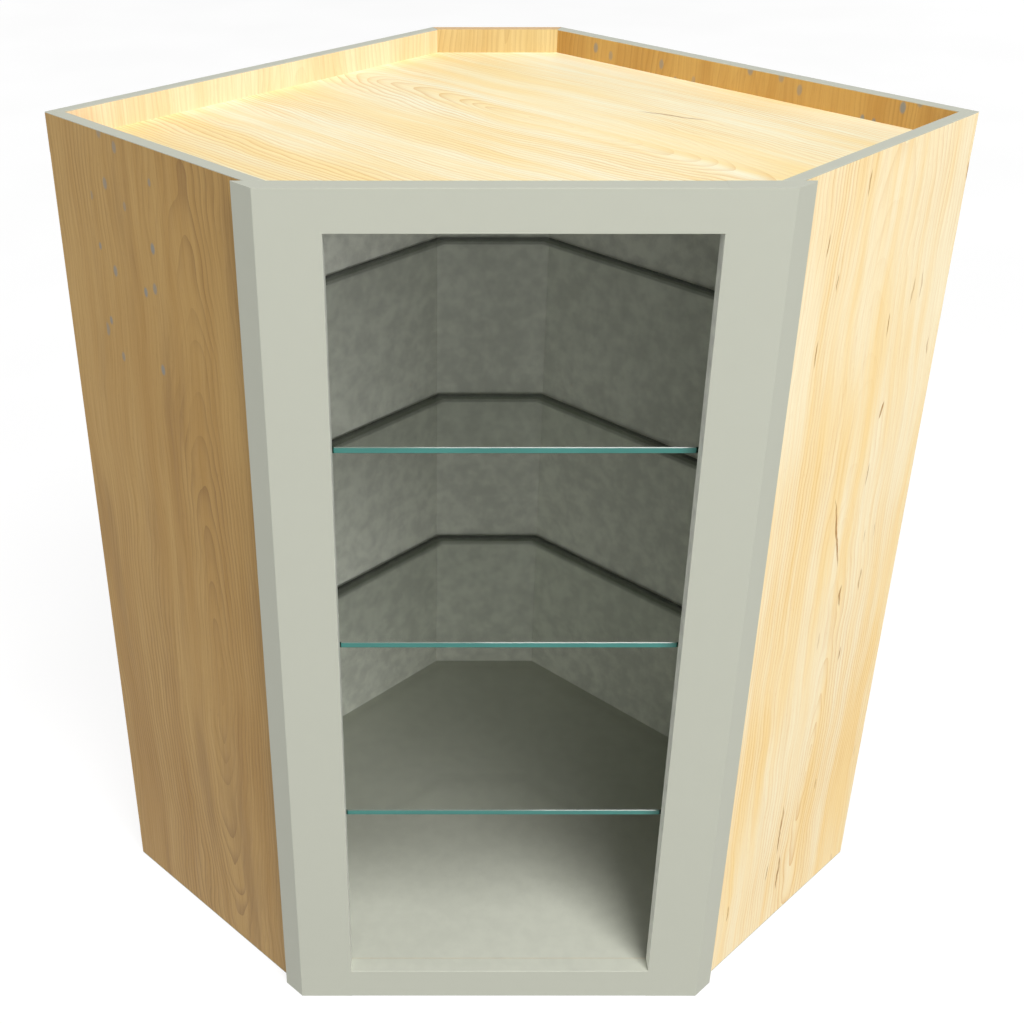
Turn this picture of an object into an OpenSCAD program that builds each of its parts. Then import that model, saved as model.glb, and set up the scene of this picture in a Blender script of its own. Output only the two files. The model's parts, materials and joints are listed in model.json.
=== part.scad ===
// Diagonal corner wall cabinet with an open painted face frame and three glass shelves.
// The front faces -Y, the corner of the room lies towards +Y, and +Z is up.
// The origin is under the middle of the case, on the plane of its lower edges.

/* [Case] */
// Run of the case along each wall, measured from the corner of the room
wall_run = 609.6; // [560:0.1:680]
// Height of the case
case_h = 914.4; // [700:0.1:1070]
// Width of each end panel, from the back of the frame to the wall
end_w = 292.1; // [270:0.1:330]
// Width of the panel that clips the corner of the room
corner_w = 146; // [120:1:200]
// Thickness of the end and back panels
side_t = 12.7; // [11:0.1:16]
// Thickness of the top and bottom panels
deck_t = 12.7; // [11:0.1:18]
// Depth of the dadoes and rabbets in the end panels
dado_d = 6.3; // [4:0.1:8]
// Thickness of the edge bands on the end and back panels
band_t = 0.8; // [0.4:0.1:2]

/* [Face frame] */
// Thickness of the face frame
frame_t = 19; // [17:0.1:24]
// Width of the opening
opening_w = 323.8; // [280:0.1:350]
// Height of the top rail
top_rail_h = 38.1; // [34:0.1:60]
// Height of the bottom rail
bottom_rail_h = 38.1; // [34:0.1:60]
// How far each stile stands proud of the end panel beside it
stile_proud = 8; // [4:0.5:12]
// Diameter of the dowels that join rails and stiles
dowel_d = 8; // [6:0.5:10]
// Length of the dowels
dowel_len = 38; // [30:1:44]
// Distance between the two dowels of a joint
dowel_pitch = 19; // [14:0.5:22]
// Leg of the triangular cleats that glue the stiles to the end panels
cleat_leg = 34; // [24:1:38]

/* [Glass shelves] */
// Thickness of the glass
glass_t = 6.3; // [5:0.1:8]
// Gap between the glass and the panels around it
glass_gap = 3.2; // [2:0.1:5]
// Distance from the back of the frame to the front edge of the glass
glass_setback = 3.2; // [2:0.1:8]
// How much narrower than the opening the front edge of the glass is
glass_inset = 2; // [0:0.5:8]

/* [Shelf pins] */
// Diameter of the pin
pin_d = 6.35; // [5:0.05:7]
// Depth of the pin holes
pin_hole_h = 9; // [7:0.5:10]
// Width of the bracket on each pin
bracket_w = 10; // [9:0.5:14]
// Height of the bracket
bracket_h = 14; // [12:0.5:20]
// Reach of the bracket under the glass
bracket_reach = 10; // [8:0.5:14]
// Thickness of the bracket's metal
bracket_t = 1.6; // [1:0.1:2.5]
// Thickness of the clear pad under the glass
pad_t = 1; // [0.5:0.1:2]
// Margin of bare metal round the pad
pad_margin = 1; // [0.5:0.1:2]
// Distance of the front pin from the frame, along the end panel
pin_front = 46; // [40:1:80]
// Distance of the middle pin from the wall, along the end panel
pin_middle = 60; // [40:1:90]
// Distance of the rear pin from the outer end of the back panel
pin_rear = 232; // [180:1:260]

/* [Fixings] */
// Diameter of the holes for wall screws
wall_hole_d = 5; // [4:0.1:6]
// Distance between the two wall holes of a back panel
wall_hole_pitch = 406.4; // [300:0.1:410]
// Distance of the first wall hole from the outer end of the back panel
wall_hole_start = 48; // [36:1:60]
// Distance of the upper wall holes below the top panel
wall_hole_drop = 22; // [12:1:40]
// Diameter of the shank of a panel screw
screw_d = 4; // [3:0.1:5]
// Length of a panel screw
screw_len = 38; // [30:1:45]
// Diameter of the countersunk head
screw_head_d = 8; // [7:0.1:9]
// Height of the countersunk head
screw_head_h = 2.6; // [2:0.1:3.5]
// Distance between the screws of a back panel
screw_pitch = 165; // [120:1:170]
// Distance between the two screws of the corner panel
corner_screw_pitch = 70; // [50:1:90]
// Diameter of a pocket hole
pocket_d = 9.5; // [8:0.1:10]
// Diameter of the shank of a pocket screw
pocket_screw_d = 3.6; // [3:0.1:4]
// Diameter of the head of a pocket screw
pocket_head_d = 7; // [6:0.1:7.8]
// Height of the head of a pocket screw
pocket_head_h = 2.2; // [1.5:0.1:3]
// Distance from the frame at which the head of a pocket screw sits
pocket_seat = 12; // [11:0.5:16]
// How deep a pocket screw goes into the frame
pocket_bite = 11; // [8:0.5:14]
// Distance between neighbouring pocket screws
pocket_pitch = 74; // [60:1:80]
// Leg of the glue blocks under the bottom panel
block_leg = 18; // [12:0.5:20]
// Length of the glue blocks
block_len = 60; // [40:1:66]

/* [Clearances] */
// Clearance of a panel in its dado, on each side
dado_gap = 0.1; // [0.05:0.05:0.3]
// Radial clearance of dowels, pins and screws in their holes
hole_gap = 0.05; // [0.02:0.01:0.2]
// Clearance left at the bottom of a blind hole
end_gap = 0.5; // [0.3:0.1:1]
// Thickness of the glue that holds the cleats and the corner panel to the slanted panels
glue_gap = 0.05; // [0.02:0.01:0.2]

/* [Hidden] */
$fn = 48;

// Finishes
paint = [0.75, 0.76, 0.70];
maple = [0.95, 0.83, 0.62];
maple_dark = [0.78, 0.60, 0.38];
beech = [0.85, 0.70, 0.50];
steel = [0.72, 0.72, 0.72];
glass_tint = [0.35, 0.58, 0.54, 0.55];
clear_pad = [0.88, 0.90, 0.90, 0.7];

// Every panel stands square to a wall or at 45 degrees to it.
// On the right half the wall is the line x + y = wall_sum and the outer face of the end
// panel is the line x - y = end_diff, with y counted back from the front of the frame.
root2 = sqrt(2);
cut = 1;
far_x = wall_run / root2;
far_y = frame_t + end_w / root2;
wall_sum = far_x + far_y;
end_diff = far_x - far_y;
wall_sum_in = wall_sum - side_t * root2;
end_diff_in = end_diff - side_t * root2;
case_d = wall_sum - corner_w / 2;
front_y = -case_d / 2;

// Face frame
opening_x = opening_w / 2;
stile_front_x = end_diff + stile_proud * root2;
stile_back_x = stile_front_x + frame_t;
frame_in_x = end_diff_in + frame_t;
floor_z = bottom_rail_h;
ceiling_z = case_h - top_rail_h;

// Panels
band_h = case_h - 2 * band_t;
dado_wall = side_t - dado_d;
back_run = (far_x - corner_w / 2) * root2;
mitre = tan(22.5);
corner_in_x = corner_w / 2 - side_t * mitre;
corner_in_y = case_d - side_t;
deck_diff = end_diff - (dado_wall + dado_gap) * root2;
bottom_z = floor_z - deck_t;
top_z = ceiling_z;
deck_levels = [bottom_z, top_z];

// Shelves and their pins
shelf_count = 3;
bay_h = (ceiling_z - floor_z - shelf_count * glass_t) / (shelf_count + 1);
function shelf_z(i) = floor_z + i * bay_h + (i - 1) * glass_t;
glass_front_x = opening_x - glass_inset / 2;
glass_front_y = frame_t + glass_setback;
glass_diff = end_diff_in - glass_gap * root2;
glass_sum = wall_sum_in - glass_gap * root2;
clip_y = (glass_diff - glass_front_x + glass_front_y / mitre) / (1 / mitre - 1);
clip_x = glass_diff + clip_y;
glass_rear_y = corner_in_y - glass_gap;
glass_rear_x = glass_sum - glass_rear_y;
pin_drop = pad_t + bracket_h / 2;

// Fixings
wall_hole_z = [bottom_z / 2, ceiling_z - wall_hole_drop];
deck_mid_z = [for (z = deck_levels) z + deck_t / 2];
screw_count = 3;
screw_start = (back_run - (screw_count - 1) * screw_pitch) / 2;
pocket_count = 4;
pocket_tilt = 15;
pocket_exit = deck_t / 2;
dowel_edge = (frame_t - dowel_d) / 2;

// Stands a child on the plan of the case, with y counted back from the front of the frame.
module plan() {
  translate([0, front_y, 0]) children();
}

// Runs x along the right-hand end panel from the frame to the wall, and y inwards.
module along_end() {
  plan() translate([end_diff + frame_t, frame_t, 0]) rotate([0, 0, 45]) children();
}

// Runs x along the right-hand back panel from its outer end to the corner, and y inwards.
module along_back() {
  plan() translate([far_x, far_y, 0]) rotate([0, 0, 135]) children();
}

// Keeps a child as it is on the right, or mirrors it for the left.
module on_side(side) {
  mirror([side == "left" ? 1 : 0, 0, 0]) children();
}

// Repeats a child on both sides.
module both_sides() {
  children();
  mirror([1, 0, 0]) children();
}

// Fastener holes and shapes

// A rod along x from the centre of its first face.
module rod(d, len) {
  rotate([0, 90, 0]) cylinder(d = d, h = len);
}

// The dowels of the right-hand joints, thicker and longer by what is asked, for their holes.
module dowel_pair(rail_z, rail_h, more_d, more_len) {
  for (side = [-1, 1]) {
    plan() translate([opening_x - dowel_len / 2 - more_len,
                      dowel_edge + dowel_d / 2,
                      rail_z + rail_h / 2 + side * dowel_pitch / 2])
      rod(dowel_d + more_d, dowel_len + 2 * more_len);
  }
}

module right_dowels(more_d, more_len) {
  dowel_pair(0, bottom_rail_h, more_d, more_len);
  dowel_pair(ceiling_z, top_rail_h, more_d, more_len);
}

// A countersunk screw that points along +y from its flat head.
module flat_screw() {
  rotate([-90, 0, 0]) {
    cylinder(d1 = screw_head_d, d2 = screw_d, h = screw_head_h);
    cylinder(d = screw_d, h = screw_len);
  }
}

// The countersunk hole for such a screw, open to the outside.
module flat_screw_hole() {
  rotate([-90, 0, 0]) {
    translate([0, 0, -cut]) cylinder(d = screw_head_d + 2 * hole_gap, h = cut);
    cylinder(d1 = screw_head_d + 2 * hole_gap, d2 = screw_d + 2 * hole_gap, h = screw_head_h);
    translate([0, 0, -cut]) cylinder(d = screw_d + 2 * hole_gap, h = screw_len + cut + hole_gap);
  }
}

// Places children at the screws of the right-hand back panel, with y inwards.
module at_back_screws() {
  for (z = deck_mid_z) {
    for (i = [0 : screw_count - 1]) {
      along_back() translate([screw_start + i * screw_pitch, 0, z]) children();
    }
  }
}

// Places children at the screws of the corner panel, with y inwards.
module at_corner_screws() {
  for (z = deck_mid_z) {
    for (side = [-1, 1]) {
      plan() translate([side * corner_screw_pitch / 2, case_d, z])
        rotate([0, 0, 180]) children();
    }
  }
}

// Places children at each pocket screw: the origin is where the screw leaves the deck for
// the frame, and x points back along the screw to its head.
module at_pockets() {
  for (i = [0 : pocket_count - 1]) {
    x = (i - (pocket_count - 1) / 2) * pocket_pitch;
    plan() translate([x, frame_t, ceiling_z + pocket_exit])
      rotate([0, -pocket_tilt, 90]) children();
    plan() translate([x, frame_t, floor_z - pocket_exit])
      rotate([0, pocket_tilt, 90]) children();
  }
}

module pocket_hole() {
  translate([pocket_seat, 0, 0]) rod(pocket_d, 4 * pocket_seat);
  translate([-cut, 0, 0]) rod(pocket_screw_d + 2 * hole_gap, pocket_seat + 2 * cut);
}

module pocket_pilot() {
  translate([-pocket_bite - end_gap, 0, 0])
    rod(pocket_screw_d + 2 * hole_gap, pocket_bite + end_gap + pocket_d);
}

// Places children at the three right-hand pins of a shelf: the origin is on the inner face
// of the panel at the axis of the pin, y points into the case and z is up.
module at_pins(i) {
  z = shelf_z(i) - pin_drop;
  along_end() translate([pin_front, side_t, z]) children();
  along_end() translate([end_w - pin_middle, side_t, z]) children();
  along_back() translate([pin_rear, side_t, z]) children();
}

module pin_holes() {
  for (i = [1 : shelf_count]) {
    at_pins(i) rotate([90, 0, 0]) {
      translate([0, 0, -cut]) cylinder(d = pin_d + 2 * hole_gap, h = pin_hole_h + cut);
    }
  }
}

// Face frame

// Right-hand stile: its outer edge is cut at 45 degrees, in line with the end panel.
module stile() {
  difference() {
    plan() linear_extrude(case_h) polygon([
      [opening_x, 0],
      [stile_front_x, 0],
      [stile_back_x, frame_t],
      [opening_x, frame_t]
    ]);
    right_dowels(2 * hole_gap, end_gap);
  }
}

module rail(z, h) {
  difference() {
    plan() translate([-opening_x, 0, z]) cube([opening_w, frame_t, h]);
    both_sides() right_dowels(2 * hole_gap, end_gap);
    at_pockets() pocket_pilot();
  }
}

module left_stile() {
  color(paint) on_side("left") stile();
}

module right_stile() {
  color(paint) on_side("right") stile();
}

module top_rail() {
  color(paint) rail(ceiling_z, top_rail_h);
}

module bottom_rail() {
  color(paint) rail(0, bottom_rail_h);
}

module frame_dowels() {
  color(beech) both_sides() right_dowels(0, 0);
}

// Triangular cleat in the angle between the right-hand stile and its end panel.
module cleat() {
  plan() translate([frame_in_x - glue_gap * root2, frame_t, floor_z])
    linear_extrude(ceiling_z - floor_z)
    polygon([
      [0, 0],
      [cleat_leg / root2, cleat_leg / root2],
      [-cleat_leg, 0]
    ]);
}

module left_corner_cleat() {
  color(paint) on_side("left") cleat();
}

module right_corner_cleat() {
  color(paint) on_side("right") cleat();
}

// Case panels

// Right-hand end panel: its front edge is cut to lie flat on the back of the frame, its rear
// edge is rabbeted for the back panel, and two dadoes hold the top and bottom panels.
module end_outline() {
  polygon([
    [0, 0],
    [end_w, 0],
    [end_w, dado_wall],
    [end_w - side_t, dado_wall],
    [end_w - side_t, side_t],
    [-side_t, side_t]
  ]);
}

module end_panel() {
  difference() {
    along_end() translate([0, 0, band_t]) linear_extrude(band_h) end_outline();
    for (z = deck_levels) {
      along_end() translate([-side_t - cut, dado_wall, z - dado_gap])
        cube([end_w + side_t, dado_d + cut, deck_t + 2 * dado_gap]);
    }
    pin_holes();
  }
}

// Right-hand back panel: it starts in the rabbet and ends in a mitre at the corner panel.
module back_outline() {
  polygon([
    [dado_wall, 0],
    [back_run, 0],
    [back_run - side_t * mitre, side_t],
    [dado_wall, side_t]
  ]);
}

module back_panel() {
  difference() {
    along_back() translate([0, 0, band_t]) linear_extrude(band_h) back_outline();
    at_back_screws() flat_screw_hole();
    pin_holes();
    for (z = wall_hole_z) {
      for (i = [0, 1]) {
        along_back() translate([wall_hole_start + i * wall_hole_pitch, -cut, z])
          rotate([-90, 0, 0]) cylinder(d = wall_hole_d, h = side_t + 2 * cut);
      }
    }
  }
}

module left_end_panel() {
  color(maple_dark) on_side("left") end_panel();
}

module right_end_panel() {
  color(maple) on_side("right") end_panel();
}

module left_back_panel() {
  color(maple) on_side("left") back_panel();
}

module right_back_panel() {
  color(maple) on_side("right") back_panel();
}

module corner_back_panel() {
  color(maple) difference() {
    plan() linear_extrude(case_h) polygon([
      [corner_w / 2 - glue_gap, case_d],
      [glue_gap - corner_w / 2, case_d],
      [glue_gap - corner_in_x, corner_in_y],
      [corner_in_x - glue_gap, corner_in_y]
    ]);
    at_corner_screws() flat_screw_hole();
  }
}

// Top or bottom panel: it butts against the frame and the backs and runs into the dadoes.
deck_corner = [(wall_sum_in + deck_diff) / 2, (wall_sum_in - deck_diff) / 2];
deck_points = [
  [frame_t + deck_diff, frame_t],
  deck_corner,
  [corner_in_x, corner_in_y]
];

module deck(z) {
  left_points = [for (i = [len(deck_points) - 1 : -1 : 0])
    [-deck_points[i][0], deck_points[i][1]]];
  difference() {
    plan() translate([0, 0, z]) linear_extrude(deck_t)
      polygon(concat(deck_points, left_points));
    both_sides() at_back_screws() flat_screw_hole();
    at_corner_screws() flat_screw_hole();
    at_pockets() pocket_hole();
  }
}

module top_panel() {
  color(maple) deck(top_z);
}

module bottom_panel() {
  color(paint) deck(bottom_z);
}

// Edge bands on the top and bottom edges of the end and back panels

module bands_of_end() {
  for (z = [0, case_h - band_t]) {
    along_end() translate([0, 0, z]) linear_extrude(band_t) end_outline();
  }
}

module bands_of_back() {
  for (z = [0, case_h - band_t]) {
    along_back() translate([0, 0, z]) linear_extrude(band_t) back_outline();
  }
}

module left_end_bands() {
  color(paint) on_side("left") bands_of_end();
}

module right_end_bands() {
  color(paint) on_side("right") bands_of_end();
}

module left_back_bands() {
  color(paint) on_side("left") bands_of_back();
}

module right_back_bands() {
  color(paint) on_side("right") bands_of_back();
}

// Glue block in the angle under the bottom panel, with its middle at x = 0 and y inwards.
module block() {
  translate([-block_len / 2, 0, bottom_z]) rotate([90, 0, 90]) linear_extrude(block_len)
    polygon([[0, 0], [0, -block_leg], [block_leg, 0]]);
}

module underside_blocks() {
  color(beech) {
    plan() translate([0, frame_t, 0]) block();
    both_sides() {
      along_end() translate([end_w / 2, side_t, 0]) block();
      along_back() translate([back_run / 2, side_t, 0]) block();
    }
  }
}

// Fasteners

module pocket_screws() {
  color(steel) at_pockets() {
    translate([pocket_seat, 0, 0]) rod(pocket_head_d, pocket_head_h);
    translate([-pocket_bite, 0, 0]) rod(pocket_screw_d, pocket_seat + pocket_bite);
  }
}

module back_screws() {
  color(steel) {
    both_sides() at_back_screws() flat_screw();
    at_corner_screws() flat_screw();
  }
}

// Glass shelves, with their front corners clipped to clear the cleats

glass_points = [
  [glass_front_x, glass_front_y],
  [clip_x, clip_y],
  [(glass_sum + glass_diff) / 2, (glass_sum - glass_diff) / 2],
  [glass_rear_x, glass_rear_y]
];

module glass_shelf(i) {
  left_points = [for (k = [len(glass_points) - 1 : -1 : 0])
    [-glass_points[k][0], glass_points[k][1]]];
  color(glass_tint) plan() translate([0, 0, shelf_z(i)]) linear_extrude(glass_t)
    polygon(concat(glass_points, left_points));
}

module lower_glass_shelf() {
  glass_shelf(1);
}

module middle_glass_shelf() {
  glass_shelf(2);
}

module upper_glass_shelf() {
  glass_shelf(3);
}

// Shelf pins: a round pin in the panel carries a bent bracket, and the glass lies on a pad.

module shelf_pin() {
  ledge_z = pin_drop - pad_t - bracket_t;
  rotate([90, 0, 0]) cylinder(d = pin_d, h = pin_hole_h - end_gap);
  translate([-bracket_w / 2, 0, ledge_z + bracket_t - bracket_h])
    cube([bracket_w, bracket_t, bracket_h]);
  translate([-bracket_w / 2, 0, ledge_z]) cube([bracket_w, bracket_reach, bracket_t]);
}

module shelf_pad() {
  translate([pad_margin - bracket_w / 2, glass_gap, pin_drop - pad_t])
    cube([bracket_w - 2 * pad_margin, bracket_reach - glass_gap - pad_margin, pad_t]);
}

module shelf_pins(i) {
  color(steel) both_sides() at_pins(i) shelf_pin();
}

module shelf_pads(i) {
  color(clear_pad) both_sides() at_pins(i) shelf_pad();
}

module lower_shelf_pins() {
  shelf_pins(1);
}

module middle_shelf_pins() {
  shelf_pins(2);
}

module upper_shelf_pins() {
  shelf_pins(3);
}

module lower_shelf_pads() {
  shelf_pads(1);
}

module middle_shelf_pads() {
  shelf_pads(2);
}

module upper_shelf_pads() {
  shelf_pads(3);
}

left_stile();
right_stile();
top_rail();
bottom_rail();
frame_dowels();
left_end_panel();
right_end_panel();
left_back_panel();
right_back_panel();
corner_back_panel();
top_panel();
bottom_panel();
left_corner_cleat();
right_corner_cleat();
left_end_bands();
right_end_bands();
left_back_bands();
right_back_bands();
underside_blocks();
pocket_screws();
back_screws();
lower_glass_shelf();
middle_glass_shelf();
upper_glass_shelf();
lower_shelf_pins();
middle_shelf_pins();
upper_shelf_pins();
lower_shelf_pads();
middle_shelf_pads();
upper_shelf_pads();
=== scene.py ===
# %% [markdown]
# # Dressing a diagonal corner wall cabinet
#
# The cabinet stands in the corner of a kitchen. It has five upright plywood panels, a top and
# a bottom panel, a painted face frame at the front and three loose glass shelves. Its
# construction is a CAD model of exact solids, which this script loads as a frame and never
# changes. Here each piece gets what a solid lacks: eased edges, veneer, plies, paint and glass.

# %% Load the frame
import json
import math

import bmesh
import bpy
from mathutils import Matrix, Vector

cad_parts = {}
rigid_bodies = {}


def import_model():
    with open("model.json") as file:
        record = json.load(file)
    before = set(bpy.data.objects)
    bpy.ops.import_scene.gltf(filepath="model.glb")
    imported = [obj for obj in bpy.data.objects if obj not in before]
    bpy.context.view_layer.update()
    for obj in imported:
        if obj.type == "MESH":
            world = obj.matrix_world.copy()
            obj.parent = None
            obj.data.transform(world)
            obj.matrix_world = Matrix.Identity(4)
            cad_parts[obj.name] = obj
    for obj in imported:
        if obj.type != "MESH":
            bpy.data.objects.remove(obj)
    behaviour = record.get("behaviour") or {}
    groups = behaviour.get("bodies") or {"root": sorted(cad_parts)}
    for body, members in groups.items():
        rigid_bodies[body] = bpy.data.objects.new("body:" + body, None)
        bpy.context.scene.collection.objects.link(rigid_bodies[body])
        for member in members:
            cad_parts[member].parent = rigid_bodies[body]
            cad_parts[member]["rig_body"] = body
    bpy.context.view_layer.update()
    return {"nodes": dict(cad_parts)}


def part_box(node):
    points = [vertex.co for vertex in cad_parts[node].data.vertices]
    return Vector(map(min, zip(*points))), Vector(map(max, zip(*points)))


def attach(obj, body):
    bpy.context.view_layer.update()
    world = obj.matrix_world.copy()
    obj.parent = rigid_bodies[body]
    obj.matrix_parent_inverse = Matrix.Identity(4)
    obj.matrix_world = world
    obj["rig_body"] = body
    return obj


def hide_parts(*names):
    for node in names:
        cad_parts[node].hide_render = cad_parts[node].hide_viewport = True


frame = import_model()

nodes = frame["nodes"]

# %% [markdown]
# ## The plan of the case
#
# Everything is placed from the solids themselves. The front of the frame lies at the lowest
# y, and every panel stands square to a wall or at 45 degrees to it. A length along a panel is
# called its run here: it starts at the frame on an end panel, and at the outer corner on a
# back panel.

# %% Read the plan from the solids
ROOT2 = math.sqrt(2)
SIDES = {"left": -1, "right": 1}
front_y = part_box("right_stile")[0].y
frame_back_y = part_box("right_stile")[1].y
opening_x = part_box("top_rail")[1].x
floor_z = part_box("bottom_rail")[1].z
ceiling_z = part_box("top_rail")[0].z
deck_top_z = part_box("top_panel")[1].z
case_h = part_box("corner_back_panel")[1].z
corner_low, corner_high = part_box("corner_back_panel")
side_t = corner_high.y - corner_low.y
far_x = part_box("right_end_panel")[1].x
end_front_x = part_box("right_end_panel")[0].x + side_t * ROOT2
far_y = frame_back_y + far_x - end_front_x
print(f"opening {2 * opening_x:.4f} m wide, case {case_h:.4f} m high, panels {side_t:.4f} m thick")

# %% [markdown]
# A veneer pattern has to lie along its own panel, so each panel gets a place: where its run
# starts, and the three directions of its run, its thickness and its grain. A texture read
# through such a place follows the panel, whichever way that stands in the room.

# %% Give each panel its place


def place(origin, run, grain):
    """The place of a panel, as the location and rotation of a Mapping node."""
    run, grain = Vector(run).normalized(), Vector(grain).normalized()
    turn = Matrix((run, grain.cross(run), grain)).transposed()
    return Vector(origin), turn.to_euler()


UP = (0, 0, 1)
places = {"corner_back_panel": place((0, corner_high.y, 0), (1, 0, 0), UP)}
for side, sign in SIDES.items():
    places[side + "_end_panel"] = place((sign * end_front_x, frame_back_y, 0), (sign, 1, 0), UP)
    places[side + "_back_panel"] = place((sign * far_x, far_y, 0), (-sign, 1, 0), UP)
places["top_panel"] = place((0, front_y, deck_top_z), (1, 1, 0), (1, -1, 0))
places["bottom_panel"] = place((0, front_y, floor_z), (0, 1, 0), (1, 0, 0))
print("places:", ", ".join(places))

# %% [markdown]
# ## The camera
#
# The picture is taken from in front, above the top of the case and a little to the left. The
# uprights lean together towards the floor, so the camera is tilted down and not shifted up.
# Its frame is cropped to the right of where it points, which is what the small shift does.

# %% Set up the camera
PICTURE = 1024
FOCAL_PIXELS = 1464.5
AIM_PIXEL_X = 433
SENSOR = 36.0
CAMERA_PLACE = (-0.0727, -1.4194, 1.2758)
CAMERA_TILT = 59.75

camera_data = bpy.data.cameras.new("camera")
camera = bpy.data.objects.new("camera", camera_data)
bpy.context.scene.collection.objects.link(camera)
bpy.context.scene.camera = camera
camera.location = CAMERA_PLACE
camera.rotation_euler = (math.radians(CAMERA_TILT), 0, 0)
camera_data.sensor_width = SENSOR
camera_data.lens = SENSOR * FOCAL_PIXELS / PICTURE
camera_data.shift_x = (PICTURE / 2 - AIM_PIXEL_X) / PICTURE
print(f"lens {camera_data.lens:.2f} mm, shift {camera_data.shift_x:.4f}")

# %% [markdown]
# ## Helpers for nodes
#
# A material is a small recipe of nodes. These helpers keep a recipe readable: one adds a node
# and feeds its inputs by name, and the others are the steps that every recipe here uses. They
# all give back the socket that holds the result.

# %% Helpers for nodes


def feed(tree, socket, value):
    """Links a socket, or types a number or colour into an input."""
    if isinstance(value, bpy.types.NodeSocket):
        tree.links.new(value, socket)
    else:
        socket.default_value = value


def step(tree, kind, inputs, output=0, **menus):
    """Adds one node with its menus and inputs, and gives back one of its outputs."""
    node = tree.nodes.new("ShaderNode" + kind)
    for menu, choice in menus.items():
        setattr(node, menu, choice)
    for socket, value in inputs.items():
        feed(tree, node.inputs[socket], value)
    return node.outputs[output]


def calc(tree, operation, *values):
    return step(tree, "Math", dict(enumerate(values)), operation=operation)


def stretch(tree, vector, scale):
    return step(tree, "VectorMath", {0: vector, 1: scale}, operation="MULTIPLY")


def noise(tree, vector, scale, detail=2.0):
    """Soft noise about 0.5, at its own scale along each of the three directions."""
    return step(tree, "TexNoise", {"Vector": stretch(tree, vector, scale), "Scale": 1.0,
                                   "Detail": detail, "Roughness": 0.55})


def ramp(tree, value, low, high, bottom=0.0, top=1.0):
    return step(tree, "MapRange", {"Value": value, "From Min": low, "From Max": high,
                                   "To Min": bottom, "To Max": top},
                interpolation_type="SMOOTHSTEP")


def mix(tree, share, first, second, blend_type="MIX"):
    """Mixes two colours."""
    return step(tree, "Mix", {0: share, 6: first, 7: second}, output=2,
                data_type="RGBA", blend_type=blend_type)


def grey(tree, tone):
    """A grey as light as a value."""
    return step(tree, "CombineColor", {0: tone, 1: tone, 2: tone})


def split(tree, vector):
    """The three parts of a vector."""
    node = tree.nodes.new("ShaderNodeSeparateXYZ")
    feed(tree, node.inputs[0], vector)
    return node.outputs


def strongest(tree, shares):
    """The largest of several shares, or nothing at all."""
    result = 0.0
    for share in shares:
        result = calc(tree, "MAXIMUM", result, share)
    return result


def seen_directly(tree):
    """1 for what the camera sees, also in a reflection or through glass, and 0 for the rest."""
    path = tree.nodes.new("ShaderNodeLightPath")
    return strongest(tree, [path.outputs[ray] for ray in
                            ("Is Camera Ray", "Is Glossy Ray", "Is Transmission Ray")])


def srgb(red, green, blue):
    """A colour as a picture shows it, from 0 to 255, turned into light."""
    def light(c):
        c /= 255
        return c / 12.92 if c <= 0.04045 else ((c + 0.055) / 1.055) ** 2.4
    return (light(red), light(green), light(blue), 1.0)


def new_material(name):
    """An empty node tree with its shader, wired to the output."""
    material = bpy.data.materials.new(name)
    material.use_nodes = True
    tree = material.node_tree
    shader = tree.nodes["Principled BSDF"]
    return material, tree, shader


def bump(tree, shader, height, depth):
    """Raises a surface by its height, which runs from 0 to 1, times a depth in metres."""
    feed(tree, shader.inputs["Normal"],
         step(tree, "Bump", {"Strength": 1.0, "Distance": depth, "Height": height}))


def object_coordinates(tree):
    return step(tree, "TexCoord", {}, output="Object")


def panel_coordinates(tree, where):
    """Coordinates of a panel: along its run, through its thickness and along its grain."""
    location, turn = where
    return step(tree, "Mapping", {"Vector": object_coordinates(tree), "Location": location,
                                  "Rotation": turn}, vector_type="TEXTURE")


print("node helpers are ready")

# %% [markdown]
# ## Paint
#
# The face frame is sprayed with a satin sage-grey paint. Sprayed paint is never quite flat: it
# dries with a faint orange-peel texture, and its colour drifts by a percent or so. In the photo
# the walls inside are lighter than the same paint would be under these lamps, and mottled, as
# if a thinner coat was rolled on by hand. So they get a lighter paint, which is painted light,
# with blotches as wide as a thumb and finer ones inside them, which are painted blotchy shade.
# So they get a lighter paint with blotches as wide as a thumb and finer ones inside them. That
# is a guess. The floor and the ceiling of the case come in between: a little lighter than the
# frame, again as painted light, and nearly even.
#
# The three numbers of a noise are how often it changes in a metre, along x, y and z.

# %% Paint materials
SAGE = srgb(187, 189, 175)
WALL_SAGE_PAINTED_LIGHT = srgb(238, 240, 228)
DECK_SAGE_PAINTED_LIGHT = srgb(200, 202, 188)
PATCHES = (56, 56, 56)
SOFT_CLOUDS = (9, 9, 9)
ORANGE_PEEL = (420, 420, 420)


def paint(name, mottle, peel, roughness, shade=SAGE):
    """Satin paint: mottle is how much its tone drifts, which on the walls inside is painted
    blotchy shade, and peel the depth of its texture.
    """
    material, tree, shader = new_material(name)
    where = object_coordinates(tree)
    patches = noise(tree, where, PATCHES, 6.0)
    clouds = noise(tree, where, SOFT_CLOUDS)
    drift = calc(tree, "MULTIPLY_ADD", patches, 0.75, calc(tree, "MULTIPLY", clouds, 0.25))
    tone = ramp(tree, drift, 0.34, 0.66, 1 - 2 * mottle, 1.0)
    feed(tree, shader.inputs["Base Color"], mix(tree, 1.0, shade, grey(tree, tone), "MULTIPLY"))
    shader.inputs["Roughness"].default_value = roughness
    shader.inputs["Specular IOR Level"].default_value = 0.25
    bump(tree, shader, noise(tree, where, ORANGE_PEEL), peel)
    return material


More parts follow.
